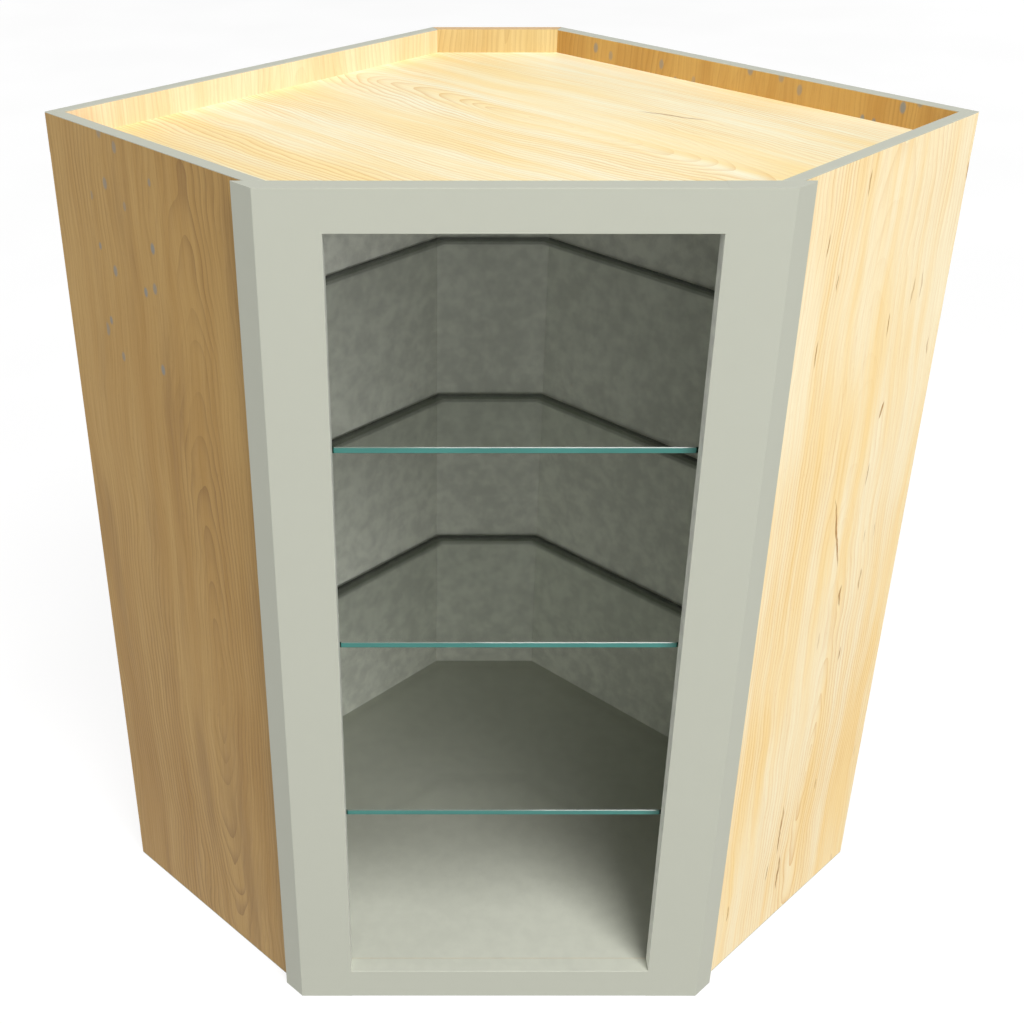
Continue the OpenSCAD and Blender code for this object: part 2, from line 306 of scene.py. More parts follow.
frame_paint = paint("sage_paint", mottle=0.004, peel=0.00004, roughness=0.5)
# Painted light: the walls inside are lighter than the frame's paint, and their strong mottle is
# painted blotchy shade.
wall_paint_with_painted_light = paint("sage_paint_walls_painted_light", mottle=0.11, peel=0.00006, roughness=0.6,
                   shade=WALL_SAGE_PAINTED_LIGHT)
# Painted light: the floor and the ceiling of the case are lighter than the frame's paint.
deck_paint_with_painted_light = paint("sage_paint_decks_painted_light", mottle=0.03, peel=0.00006, roughness=0.6,
                   shade=DECK_SAGE_PAINTED_LIGHT)
band_paint = paint("edge_band_finish", mottle=0.01, peel=0.00002, roughness=0.5)
print("made", frame_paint.name, wall_paint_with_painted_light.name, deck_paint_with_painted_light.name, band_paint.name)

# %% [markdown]
# ## Maple veneer
#
# A veneer is peeled or sliced from a log, so its lines are the growth rings of the tree cut at
# a slant. The recipe does what the knife does: it takes the distance of each point from the
# heart of the log, with the grain direction squeezed to about a tenth, and draws a line at each
# ring. Squeezed rings come out as the long nested arches of flat-cut maple. Noise makes the
# log wander and gives the rings uneven widths. The honey-coloured bands, the fibres and the
# pores are noise too, stretched along the grain and moved sideways by the same wander.
#
# Maple also has dark mineral streaks and small grey flecks, too many to place one by one. A
# Voronoi texture scatters them: it parts the panel into irregular cells, each with one seed
# point and a random colour. The distance to the seed draws the mark, and the colour says
# whether the cell has one, how large it is and how dark. Only a few bold streaks are listed one
# by one, to the centimetre: where the real panels have a clear dark one.

# %% Streaks and flecks


def bold_streak(tree, run, rise, at_run, at_rise, half_width, half_length, lean, depth):
    """How strongly one listed streak colours the wood, from 0 to 1."""
    along = calc(tree, "SUBTRACT", rise, at_rise)
    centre = calc(tree, "MULTIPLY_ADD", along, lean, at_run)
    across = calc(tree, "DIVIDE", calc(tree, "SUBTRACT", run, centre), half_width)
    reach = calc(tree, "DIVIDE", along, half_length)
    far = calc(tree, "MULTIPLY_ADD", across, across, calc(tree, "MULTIPLY", reach, reach))
    return calc(tree, "MULTIPLY", ramp(tree, far, 1.0, 0.35), depth)


def scattered(tree, run, rise, cell_width, cell_length, size, chance):
    """Marks in the cells of a panel, with the strength of each, from 0 to 1. A mark's reach is
    at most size times its cell, and chance is the share of the cells that have one."""
    cells = tree.nodes.new("ShaderNodeTexVoronoi")
    cells.voronoi_dimensions = "2D"
    cells.inputs["Scale"].default_value = 1.0
    feed(tree, cells.inputs["Vector"],
         step(tree, "CombineXYZ", {0: calc(tree, "DIVIDE", run, cell_width),
                                   1: calc(tree, "DIVIDE", rise, cell_length)}))
    luck = tree.nodes.new("ShaderNodeSeparateColor")
    feed(tree, luck.inputs[0], cells.outputs["Color"])
    reach = calc(tree, "MULTIPLY", calc(tree, "MULTIPLY_ADD", luck.outputs[1], 0.5, 0.5), size)
    far = calc(tree, "DIVIDE", cells.outputs["Distance"], reach)
    depth = calc(tree, "MULTIPLY_ADD", luck.outputs[2], 0.5, 0.4)
    present = calc(tree, "LESS_THAN", luck.outputs[0], chance)
    return calc(tree, "MULTIPLY", calc(tree, "MULTIPLY", ramp(tree, far, 1.0, 0.5), depth),
                present)


def in_strip(tree, run, rise, at_run, half_width, lowest):
    """Whether a point lies in an upright strip of a panel, above a height: 0 or 1."""
    aside = calc(tree, "ABSOLUTE", calc(tree, "SUBTRACT", run, at_run))
    return calc(tree, "MULTIPLY", calc(tree, "LESS_THAN", aside, half_width),
                calc(tree, "GREATER_THAN", rise, lowest))


print("marks are soft ellipses, scattered or listed one by one")

# %% Veneer
SWAYS = (((3.2, 3.2, 1.3), 0.070), ((11, 11, 3.5), 0.027), ((34, 34, 11), 0.008),
         ((90, 90, 30), 0.0022))
ARCH_SWAY = (5, 5, 7)
ARCH_REACH = 0.030
RINGS_PER_METRE = 190.0
RING_UNEVENNESS = 3.0
RING_SHARPNESS = 3.0
RING_WIDTHS = (11, 11, 1.6)
RING_FADE = (9, 9, 2.2)
HONEY_BANDS = (48, 48, 2.2)
HONEY_CLOUDS = (6, 6, 2.0)
SMOKY_BANDS = (24, 24, 2.6)
FIBRES = (520, 520, 9)
PORES = (1100, 1100, 90)
STREAK_BENDS = (30, 30, 40)
STREAK_BEND_REACH = 0.007
STREAK_BREAKS = (500, 500, 70)


def veneer(name, where, tones, heart, squeeze, lines=0.5, stain=0.0, streaks=0.0, bold=(),
           flecks=()):
    """Clear-coated maple veneer. tones are its pale, honey and line colours, heart is the run
    and height at which the arches of the figure are centred, and stain darkens some bands.
    streaks is the share of cells with a mineral streak, bold the listed streaks, and
    flecks the strip that holds grey flecks: its run, its half width and its lowest height."""
    pale, honey, line_tone = tones
    material, tree, shader = new_material(name)
    spot = panel_coordinates(tree, where)
    run, depth, rise = split(tree, spot)

    def sway(scale, reach):
        """Noise that moves the figure sideways, by a reach in metres."""
        return calc(tree, "MULTIPLY", calc(tree, "SUBTRACT", noise(tree, spot, scale), 0.5),
                    reach)

    wander = 0.0
    for scale, reach in SWAYS:
        wander = calc(tree, "ADD", wander, sway(scale, reach))
    across = calc(tree, "SUBTRACT", calc(tree, "ADD", run, wander), heart[0])
    up = calc(tree, "MULTIPLY_ADD", calc(tree, "SUBTRACT", rise, heart[1]), squeeze,
              sway(ARCH_SWAY, ARCH_REACH))
    radius = calc(tree, "SQRT", calc(tree, "ADD", calc(tree, "MULTIPLY", across, across),
                                     calc(tree, "MULTIPLY", up, up)))
    uneven = noise(tree, spot, RING_WIDTHS, 3.0)
    ring = calc(tree, "FRACT", calc(tree, "MULTIPLY_ADD", radius, RINGS_PER_METRE,
                                    calc(tree, "MULTIPLY", uneven, RING_UNEVENNESS)))
    ring_line = calc(tree, "POWER", ring, RING_SHARPNESS)
    fade = ramp(tree, noise(tree, spot, RING_FADE, 3.0), 0.38, 0.64, 0.12, 1.0)

    flow = step(tree, "CombineXYZ", {0: calc(tree, "ADD", run, wander), 1: depth, 2: rise})
    bands = noise(tree, flow, HONEY_BANDS, 3.0)
    clouds = noise(tree, spot, HONEY_CLOUDS)
    warmth = ramp(tree, calc(tree, "ADD", calc(tree, "MULTIPLY", bands, 0.55),
                             calc(tree, "MULTIPLY", clouds, 0.45)), 0.36, 0.66)
    fibres = noise(tree, flow, FIBRES, 3.0)
    pores = ramp(tree, noise(tree, flow, PORES, 1.0), 0.62, 0.74)

    colour = mix(tree, warmth, pale, honey)
    if stain:
        smoke = ramp(tree, noise(tree, flow, SMOKY_BANDS, 4.0), 0.50, 0.70, 0.0, stain)
        colour = mix(tree, smoke, colour, line_tone)
    colour = mix(tree, calc(tree, "MULTIPLY", calc(tree, "MULTIPLY", ring_line, fade), lines),
                 colour, line_tone)
    colour = mix(tree, ramp(tree, fibres, 0.4, 0.72, 0.0, 0.20), colour, line_tone)
    colour = mix(tree, calc(tree, "MULTIPLY", pores, 0.22), colour, line_tone)
    if streaks or bold:
        wobble = calc(tree, "ADD", run, sway(STREAK_BENDS, STREAK_BEND_REACH))
        marks = [bold_streak(tree, wobble, rise, *spec) for spec in bold]
        marks.append(scattered(tree, calc(tree, "ADD", wobble, wander), rise,
                               STREAK_CELL_WIDTH, STREAK_CELL_LENGTH, STREAK_SIZE, streaks))
        broken = ramp(tree, noise(tree, spot, STREAK_BREAKS), 0.35, 0.55, 0.65, 1.0)
        colour = mix(tree, calc(tree, "MULTIPLY", strongest(tree, marks), broken), colour,
                     MINERAL)
    if flecks:
        dots = scattered(tree, run, rise, FLECK_CELL_WIDTH, FLECK_CELL_LENGTH, FLECK_SIZE,
                         FLECK_CHANCE)
        inside = in_strip(tree, run, rise, *flecks)
        colour = mix(tree, calc(tree, "MULTIPLY", dots, inside), colour, GREY_FLECK)
    feed(tree, shader.inputs["Base Color"], colour)
    feed(tree, shader.inputs["Roughness"], ramp(tree, fibres, 0.3, 0.7, 0.40, 0.50))
    shader.inputs["Specular IOR Level"].default_value = 0.25
    shader.inputs["Coat Weight"].default_value = 0.05
    shader.inputs["Coat Roughness"].default_value = 0.30
    bump(tree, shader, calc(tree, "MULTIPLY_ADD", ring_line, -0.4, fibres), 0.00005)
    return material


MINERAL = srgb(166, 110, 10)
GREY_FLECK = srgb(128, 132, 130)
STREAK_CELL_WIDTH = 0.016
STREAK_CELL_LENGTH = 0.16
STREAK_SIZE = 0.12
FLECK_CELL_WIDTH = 0.022
FLECK_CELL_LENGTH = 0.040
FLECK_SIZE = 0.22
FLECK_CHANCE = 0.45
print("the veneer recipe is ready")

# %% [markdown]
# Every panel is cut from another sheet, so each has its own tones and figure. The left end
# panel is the warmest, shows tight arches near the frame, and has a strip of grey flecks near
# its top. The right one is pale, nearly straight, and has the mineral streaks. The top panel's
# grain runs across the case from back left to front right. A bold streak is its run and
# height, its half width and half length, how far it leans, and how dark it is.

# %% Veneers of this case
BOLD_ON_RIGHT_END = (
    (0.15, 0.52, 0.002, 0.050, -0.3, 0.90),
    (0.20, 0.64, 0.002, 0.010, 0.3, 0.90),
    (0.13, 0.14, 0.002, 0.040, 0.0, 0.85),
    (0.14, 0.07, 0.002, 0.030, 0.0, 0.90),
)
BOLD_ON_TOP = ((0.33, -0.10, 0.002, 0.040, 0.3, 0.70),)
PALE = (srgb(255, 241, 203), srgb(253, 221, 154), srgb(222, 168, 86))
SUNNY = (srgb(249, 228, 193), srgb(242, 211, 165), srgb(215, 167, 107))
WARM = (srgb(187, 151, 88), srgb(172, 133, 68), srgb(118, 82, 36))
GOLD = (srgb(202, 161, 88), srgb(187, 141, 68), srgb(150, 102, 44))
HONEY = (srgb(216, 193, 137), srgb(205, 175, 115), srgb(178, 140, 86))
BRIGHT = (srgb(255, 252, 224), srgb(255, 231, 168), srgb(229, 182, 100))

veneers = {
    "left_end_panel": veneer(
        "maple_left_end", places["left_end_panel"], WARM, heart=(0.094, 0.371), squeeze=0.11,
        lines=0.65, stain=0.35, flecks=(0.18, 0.05, 0.67)),
    "right_end_panel": veneer(
        "maple_right_end", places["right_end_panel"], PALE, heart=(0.165, 0.200), squeeze=0.09,
        lines=0.65, streaks=0.20, bold=BOLD_ON_RIGHT_END),
    "left_back_panel": veneer(
        "maple_left_back", places["left_back_panel"], SUNNY, heart=(0.300, 0.500),
        squeeze=0.08, lines=0.35),
    "right_back_panel": veneer(
        "maple_right_back", places["right_back_panel"], GOLD, heart=(0.250, 0.420),
        squeeze=0.08, lines=0.45, stain=0.20, flecks=(0.30, 0.30, deck_top_z)),
    "corner_back_panel": veneer(
        "maple_corner", places["corner_back_panel"], HONEY, heart=(0.010, 0.700),
        squeeze=0.06, lines=0.50),
    "top_panel": veneer(
        "maple_top", places["top_panel"], BRIGHT, heart=(0.226, -0.198), squeeze=0.20,
        lines=0.80, streaks=0.02, bold=BOLD_ON_TOP),
    "bottom_panel": veneer(
        "maple_underside", places["bottom_panel"], PALE, heart=(0.200, 0.050), squeeze=0.10,
        lines=0.40),
}
print("made", len(veneers), "veneers")

# %% [markdown]
# ## Plywood edges and bare hardwood
#
# Where a panel is cut, its plies show as thin lines that run along the edge, alternately along
# and across the grain. The thickness coordinate of the panel's place gives the lines, so they
# follow every panel. The dowels and glue blocks are plain beech, which is told by its short
# dark flecks.

# %% Plywood edge and beech
PLIES = 9
MAPLE_LIGHT = srgb(236, 208, 160)
MAPLE_DARK = srgb(176, 130, 80)
BEECH = srgb(214, 172, 122)
BEECH_FLECK = srgb(168, 118, 74)
SAWN_GRAIN = (300, 900, 120)
ACROSS_BEECH, ALONG_BEECH = 300, 30
ACROSS_DOTS, ALONG_DOTS = 700, 160


def ply_edge(name, where):
    """Cut plywood: its plies are drawn by the depth in the panel's thickness."""
    material, tree, shader = new_material(name)
    spot = panel_coordinates(tree, where)
    depth = split(tree, spot)[1]
    layer = calc(tree, "MULTIPLY", depth, PLIES * math.pi / side_t)
    wave = calc(tree, "ABSOLUTE", calc(tree, "SINE", layer))
    crossing = ramp(tree, wave, 0.25, 0.75)
    grain = noise(tree, spot, SAWN_GRAIN, 3.0)
    colour = mix(tree, calc(tree, "MULTIPLY", crossing, 0.55), MAPLE_LIGHT, MAPLE_DARK)
    colour = mix(tree, ramp(tree, grain, 0.35, 0.7, 0.0, 0.45), colour, MAPLE_DARK)
    feed(tree, shader.inputs["Base Color"], colour)
    shader.inputs["Roughness"].default_value = 0.62
    bump(tree, shader, grain, 0.00008)
    return material


def beech(name, along):
    """Bare beech with its grain along one axis, 0 for x, 1 for y and 2 for z."""
    material, tree, shader = new_material(name)
    where = object_coordinates(tree)
    fine = [ACROSS_BEECH] * 3
    fine[along] = ALONG_BEECH
    dots = [ACROSS_DOTS] * 3
    dots[along] = ALONG_DOTS
    tone = noise(tree, where, tuple(fine), 3.0)
    flecks = ramp(tree, noise(tree, where, tuple(dots), 1.0), 0.60, 0.70)
    colour = mix(tree, ramp(tree, tone, 0.3, 0.7, 0.0, 0.35), BEECH, BEECH_FLECK)
    feed(tree, shader.inputs["Base Color"],
         mix(tree, calc(tree, "MULTIPLY", flecks, 0.5), colour, BEECH_FLECK))
    shader.inputs["Roughness"].default_value = 0.6
    bump(tree, shader, tone, 0.0001)
    return material


plies = {node: ply_edge("ply_" + node, where) for node, where in places.items()}
block_wood = beech("beech_blocks", 0)
print("made", len(plies), "plywood edges and", block_wood.name)

# %% [markdown]
# ## Metal
#
# The screws are zinc plated and the shelf pins nickel plated. Plating shines, but it is never
# a mirror: it carries fine scratches and a slight clouding, so noise drives its roughness.

# %% Plated steel
PLATING_SHADE = srgb(150, 150, 146)
HAZE = (260, 260, 260)
SCRATCHES = (3000, 400, 3000)


def plated(name, tone, roughness, cloud):
    """Plated steel whose roughness drifts with a cloudy noise."""
    material, tree, shader = new_material(name)
    where = object_coordinates(tree)
    haze = noise(tree, where, HAZE, 3.0)
    scratches = noise(tree, where, SCRATCHES, 1.0)
    feed(tree, shader.inputs["Base Color"],
         mix(tree, ramp(tree, haze, 0.35, 0.65, 0.0, 0.3), tone, PLATING_SHADE))
    shader.inputs["Metallic"].default_value = 1.0
    feed(tree, shader.inputs["Roughness"],
         ramp(tree, haze, 0.3, 0.7, roughness, roughness + cloud))
    bump(tree, shader, scratches, 0.00001)
    return material


zinc = plated("zinc_plate", srgb(206, 208, 206), roughness=0.30, cloud=0.18)
nickel = plated("nickel_plate", srgb(222, 218, 208), roughness=0.16, cloud=0.12)
print("made", zinc.name, nickel.name)

# %% [markdown]
# ## Glass
#
# Each shelf is a sheet of clear float glass, and its two faces let nearly all light through to
# the camera. Light has to pass as well, or the shelf would throw a black shadow: for shadow
# rays and for light that has bounced off the paint, the recipe changes to a plain transparent
# shader. Its tint for shadow rays is darker than real glass, because the photo shows the case
# growing darker below each shelf.
#
# Float glass holds a little iron, so light that has travelled far inside it turns green. That
# is why the edges look teal. Tracing that many bounces is slow and noisy, so the edges get the
# colour that such light ends up with. Where the edges stand close to a wall they are painted
# nearly black or grey instead, as painted shade. The faces are painted darker within the last
# 2 cm before their rear edges, as painted shade where the shelf meets the walls. Both tints are
# there to come near the photo, and neither is a property of the real glass.

# %% Glass materials
GLASS_TINT = (0.97, 0.985, 0.975, 1.0)
GLASS_REAR_SHADE = srgb(140, 144, 138)
GLASS_SHADOW = (0.62, 0.62, 0.62, 1.0)
GLASS_GLOW = (0.92, 0.92, 0.92, 1.0)
SHEET_IOR = 1.12
GLASS_IOR = 1.52
REAR_SHADE_FULL, REAR_SHADE_GONE = 0.013, 0.019
SMEARS = (18, 18, 18)
EDGE_DRIFT = (14, 14, 14)


def from_rear_edge(tree, spot):
    """How far a point of a shelf lies in front of the nearest of its three rear edges."""
    corners = [vertex.co for vertex in nodes["middle_glass_shelf"].data.vertices]
    rear_y = max(corner.y for corner in corners)
    rear_sum = max(corner.x + corner.y for corner in corners)
    x, y = split(tree, spot)[:2]
    side = calc(tree, "ADD", calc(tree, "ABSOLUTE", x), y)
    return calc(tree, "MINIMUM", calc(tree, "SUBTRACT", rear_y, y),
                calc(tree, "DIVIDE", calc(tree, "SUBTRACT", rear_sum, side), ROOT2))


def clear_glass(name):
    """The two faces of a shelf, which let light through."""
    material, tree, shader = new_material(name)
    spot = object_coordinates(tree)
    smears = noise(tree, spot, SMEARS)
    # Painted shade: the faces darken within the last 2 cm before their rear edges, where the shelf
    # meets the walls.
    clear = ramp(tree, from_rear_edge(tree, spot), REAR_SHADE_FULL, REAR_SHADE_GONE)
    feed(tree, shader.inputs["Base Color"], mix(tree, clear, GLASS_REAR_SHADE, GLASS_TINT))
    shader.inputs["Transmission Weight"].default_value = 1.0
    shader.inputs["IOR"].default_value = SHEET_IOR
    feed(tree, shader.inputs["Roughness"], ramp(tree, smears, 0.45, 0.75, 0.0, 0.04))
    shader.inputs["Coat Weight"].default_value = 0.5
    shader.inputs["Coat Roughness"].default_value = 0.02
    choose = tree.nodes.new("ShaderNodeMixShader")
    path = tree.nodes.new("ShaderNodeLightPath")
    see_through = step(tree, "BsdfTransparent", {
        "Color": mix(tree, path.outputs["Is Shadow Ray"], GLASS_GLOW, GLASS_SHADOW)})
    feed(tree, choose.inputs[0], strongest(tree, [path.outputs["Is Shadow Ray"],
                                                  path.outputs["Is Diffuse Ray"]]))
    tree.links.new(shader.outputs[0], choose.inputs[1])
    tree.links.new(see_through, choose.inputs[2])
    tree.links.new(choose.outputs[0], tree.nodes["Material Output"].inputs[0])
    return material


def glass_edge(name, tone, depth_tone, gloss):
    """A polished glass edge: its colour drifts along its length as light inside it does."""
    material, tree, shader = new_material(name)
    drift = noise(tree, object_coordinates(tree), EDGE_DRIFT)
    feed(tree, shader.inputs["Base Color"],
         mix(tree, ramp(tree, drift, 0.35, 0.65), tone, depth_tone))
    shader.inputs["Roughness"].default_value = gloss
    shader.inputs["IOR"].default_value = GLASS_IOR
    shader.inputs["Coat Weight"].default_value = 0.3
    shader.inputs["Coat Roughness"].default_value = 0.05
    return material


glass_face = clear_glass("shelf_glass_clear")
front_edge = glass_edge("shelf_glass_front_edge", srgb(48, 124, 115), srgb(42, 116, 107), 0.3)
# The upper arris is painted darker and the lower one lighter: painted shade and painted highlight.
upper_arris = glass_edge("shelf_glass_upper_arris", srgb(58, 88, 74), srgb(50, 80, 68), 0.3)
lower_arris = glass_edge("shelf_glass_lower_arris", srgb(120, 134, 124), srgb(108, 124, 114), 0.3)
# Painted shadow on the clipped front corners, where the stiles shade them, and painted shade on
# the grey rear edges beside the walls.
painted_shadow_edge = glass_edge("shelf_glass_edge_painted_shadow", srgb(16, 62, 46), srgb(8, 46, 34), 0.2)
shaded_rear_edge = glass_edge("shelf_glass_rear_edge_shaded", srgb(98, 101, 94), srgb(84, 87, 80), 0.4)
print("made", glass_face.name, "and the edges of the glass")

# %% [markdown]
# Under the glass lie small soft pads of clear vinyl. They are cloudy from moulding and hardly
# shine.

# %% Clear vinyl
VINYL_CLOUD = (500, 500, 500)


def clear_vinyl(name):
    """Cloudy soft plastic that lets half of the light in."""
    material, tree, shader = new_material(name)
    cloud = noise(tree, object_coordinates(tree), VINYL_CLOUD)
    feed(tree, shader.inputs["Base Color"],
         mix(tree, ramp(tree, cloud, 0.3, 0.7), srgb(226, 231, 230), srgb(208, 216, 214)))
    feed(tree, shader.inputs["Roughness"], ramp(tree, cloud, 0.3, 0.7, 0.35, 0.55))
    shader.inputs["Transmission Weight"].default_value = 0.5
    return material


vinyl = clear_vinyl("clear_vinyl")
print("made", vinyl.name)

# %% [markdown]
# ## Helpers for shaping
#
# Blender's operators act on whatever is selected, and all the solids are selected after
# loading. So every helper starts by selecting only its own piece. Edges and faces are then
# picked by a test on their place or direction, because there is no mouse to click them with.

# %% Helpers for shaping
NEAR = 1e-5
SQUARE_ON = 0.9


def activate(*pieces):
    """Selects only these pieces. The last of them is the active one."""
    bpy.ops.object.select_all(action="DESELECT")
    for piece in pieces:
        piece.select_set(True)
        bpy.context.view_layer.objects.active = piece


def edit(piece, mode="FACE", test=None):
    """Opens a piece in edit mode and selects what passes the test, or all of it."""
    activate(piece)
    bpy.ops.object.mode_set(mode="EDIT")
    bpy.ops.mesh.select_mode(type=mode)
    bpy.ops.mesh.select_all(action="SELECT" if test is None else "DESELECT")
    mesh = bmesh.from_edit_mesh(piece.data)
    items = {"FACE": mesh.faces, "EDGE": mesh.edges, "VERT": mesh.verts}[mode]
    picked = list(items) if test is None else [item for item in items if test(item)]
    for item in picked:
        item.select_set(True)
    bmesh.update_edit_mesh(piece.data)
    return len(picked)


def leave():
    bpy.ops.object.mode_set(mode="OBJECT")


def new_piece(name, mesh):
    """A new object in the scene, with this mesh."""
    piece = bpy.data.objects.new(name, mesh)
    bpy.context.scene.collection.objects.link(piece)
    return piece


def copy_solid(node, ending):
    """A copy of a solid: its loose triangles are merged and its flat faces made whole."""
    piece = new_piece(f"{node}_{ending}", nodes[node].data.copy())
    piece.data.materials.clear()
    edit(piece)
    bpy.ops.mesh.remove_doubles(threshold=NEAR / 10)
    bpy.ops.mesh.dissolve_limited(angle_limit=math.radians(0.5))
    bpy.ops.mesh.customdata_custom_splitnormals_clear()
    leave()
    bpy.ops.object.shade_flat()
    return piece


def middle(edge):
    return (edge.verts[0].co + edge.verts[1].co) / 2


def runs_along(edge, direction, least):
    """Whether an edge runs along a direction and is at least so long."""
    span = edge.verts[1].co - edge.verts[0].co
    return span.length > least and abs(span.normalized().dot(Vector(direction))) > 0.999


def is_level(edge):
    return abs(edge.verts[0].co.z - edge.verts[1].co.z) < NEAR


def is_corner(edge):
    return len(edge.link_faces) == 2 and edge.calc_face_angle(0) > 0.3


def ease(piece, width, test, segments=2):
    """Rounds the long corners of a piece that pass a test, as sandpaper does."""
    count = edit(piece, "EDGE", lambda edge: is_corner(edge) and test(edge))
    if count:
        bpy.ops.mesh.bevel(offset=width, segments=segments, affect="EDGES")
    leave()
    return count


def paint_faces(piece, materials, choose):
    """Gives each face one of the materials. choose gets its middle and its normal."""
    for material in materials:
        piece.data.materials.append(material)
    for face in piece.data.polygons:
        face.material_index = materials.index(choose(face.center, face.normal))


def paint_whole(piece, material):
    """Gives a piece one material all over."""
    paint_faces(piece, [material], lambda centre, normal: material)


def smooth(piece, degrees):
    """Smooths the shading across all corners that are flatter than this."""
    activate(piece)
    bpy.ops.object.shade_smooth_by_angle(angle=math.radians(degrees))


def carve(piece, operation, tool):
    """Joins a tool to a piece, or cuts it out of the piece, and removes the tool."""
    modifier = piece.modifiers.new("carve", "BOOLEAN")
    modifier.operation = operation
    modifier.object = tool
    activate(piece)
    bpy.ops.object.modifier_apply(modifier=modifier.name)
    bpy.data.objects.remove(tool)


def stand_for(piece, node):
    """Puts a finished piece in the place of its solid."""
    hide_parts(node)
    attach(piece, nodes[node]["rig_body"])


print("shaping helpers are ready")

# %% [markdown]
# ## Face frame
#
# The frame is four sticks of 19 mm hardwood, doweled together and then sprayed. Its faces are
# sanded flush, so the joints hardly show, but all the long corners are broken by sandpaper.
# The inner corner of a stile is only broken between the rails, because the frame is sanded
# after it is glued up: eased to its ends, it would leave a groove across each joint. So the
# stile is first cut into three lengths at the rails. In the frame's own paint, the faces of the
# stiles that look into the opening came out darker than in the photo, so they get the lighter
# paint of the walls, as painted light.

# %% Stiles
FRAME_EASE = 0.0005
LONG = 0.05
SHORT = 0.02


def slice_across(piece, heights):
    """Cuts the faces of a piece at some heights and leaves them joined."""
    for height in heights:
        edit(piece)
        bpy.ops.mesh.bisect(plane_co=(0, 0, height), plane_no=(0, 0, 1))
        leave()


for side, sign in SIDES.items():
    stile = copy_solid(side + "_stile", "painted")
    slice_across(stile, (floor_z, ceiling_z))

    def on_opening(edge):
        return abs(abs(middle(edge).x) - opening_x) < NEAR

    ease(stile, FRAME_EASE, lambda edge: runs_along(edge, UP, SHORT) and not on_opening(edge))
    ease(stile, FRAME_EASE, lambda edge: runs_along(edge, UP, LONG) and on_opening(edge)
         and floor_z < middle(edge).z < ceiling_z)
    ease(stile, FRAME_EASE / 2, lambda edge: abs(middle(edge).z - case_h) < NEAR
         and edge.calc_length() > SHORT / 2)
    # Painted light: the faces that look into the opening get the lighter wall paint.
    paint_faces(stile, [frame_paint, wall_paint_with_painted_light],
                lambda centre, normal: wall_paint_with_painted_light if normal.x * sign < -SQUARE_ON
                and floor_z < centre.z < ceiling_z else frame_paint)
    stand_for(stile, side + "_stile")

# %% [markdown]
# A rail meets the stiles at its ends, so only its long corners are eased: those on the opening
# and, on the top rail, those of the upper edge. The upper face of the bottom rail gets the
# lighter paint of the floor of the case, which is level with it: painted light.

# %% Rails
for node in ("top_rail", "bottom_rail"):
    rail = copy_solid(node, "painted")
    ease(rail, FRAME_EASE, lambda edge: runs_along(edge, (1, 0, 0), LONG))
    # Painted light: the upper face of the bottom rail gets the lighter deck paint.
    paint_faces(rail, [frame_paint, deck_paint_with_painted_light],
                lambda centre, normal: deck_paint_with_painted_light if node == "bottom_rail" and normal.z > 0.8
                else frame_paint)
    stand_for(rail, node)

# %% [markdown]
# Behind each stile a three-cornered cleat fills the angle to the end panel. It is inside the
# case, so it gets the same paint as the walls there, with its painted light and mottled shade.

# %% Corner cleats and dowels
for side in SIDES:
    cleat = copy_solid(side + "_corner_cleat", "painted")
    ease(cleat, FRAME_EASE, lambda edge: runs_along(edge, UP, LONG))
    # Painted light: the lighter wall paint, with its painted blotchy shade.
    paint_whole(cleat, wall_paint_with_painted_light)
    stand_for(cleat, side + "_corner_cleat")

dowels = nodes["frame_dowels"]
dowels.data.materials.clear()
dowels.data.materials.append(block_wood)
print("the dowels stay as they are, in", block_wood.name)

# %% [markdown]
# ## Panels
#
# The end and back panels are veneered plywood. Between the bottom and the top panel their
# inner faces are painted, with the lighter wall paint that is painted light. Outside that, and
# in the recess above the top panel, they show bare veneer. The grooves for the two decks already
# part the faces there, so the finish can follow from each face's own place and direction. Cut
# edges show their plies.

# %% End and back panels
PANEL_EASE = 0.0004


def finish_panel(node, outward):
    """Veneers, paints and eases one upright panel. outward points out of the case."""
    panel = copy_solid(node, "veneered")
    outward = Vector(outward).normalized()
    slice_across(panel, (floor_z, ceiling_z))
    ease(panel, PANEL_EASE, lambda edge: runs_along(edge, UP, LONG)
         or (is_level(edge) and edge.calc_length() > 2 * LONG
             and any(face.normal.dot(outward) > SQUARE_ON for face in edge.link_faces)))

    def choose(centre, normal):
        facing = normal.dot(outward)
        if abs(facing) < 0.6:
            return plies[node]
        # Painted light: the inner faces between the decks get the lighter wall paint.
        if facing < 0 and floor_z < centre.z < ceiling_z:
            return wall_paint_with_painted_light
        return veneers[node]

    paint_faces(panel, [veneers[node], wall_paint_with_painted_light, plies[node]], choose)
    stand_for(panel, node)


for side, sign in SIDES.items():
    finish_panel(side + "_end_panel", (sign, -1, 0))
    finish_panel(side + "_back_panel", (sign, 1, 0))
finish_panel("corner_back_panel", (0, 1, 0))

# %% [markdown]
# The top and bottom panels slide into grooves, so no edge of theirs shows. Only the face that
# looks into the case is painted, with the lighter deck paint that is painted light.

# %% Top and bottom panels
for node, inside in (("top_panel", -1), ("bottom_panel", 1)):
    deck = copy_solid(node, "veneered")
    paint_faces(deck, [veneers[node], deck_paint_with_painted_light, plies[node]],
                lambda centre, normal: plies[node] if abs(normal.z) < SQUARE_ON
                else deck_paint_with_painted_light if normal.z * inside > 0 else veneers[node])
    stand_for(deck, node)

# %% [markdown]
# ## Edge bands
#
# A thin band in the colour of the paint covers the upper and lower edges of the end and back
# panels. It is trimmed flush and its corners are scraped, which leaves a fine bevel.

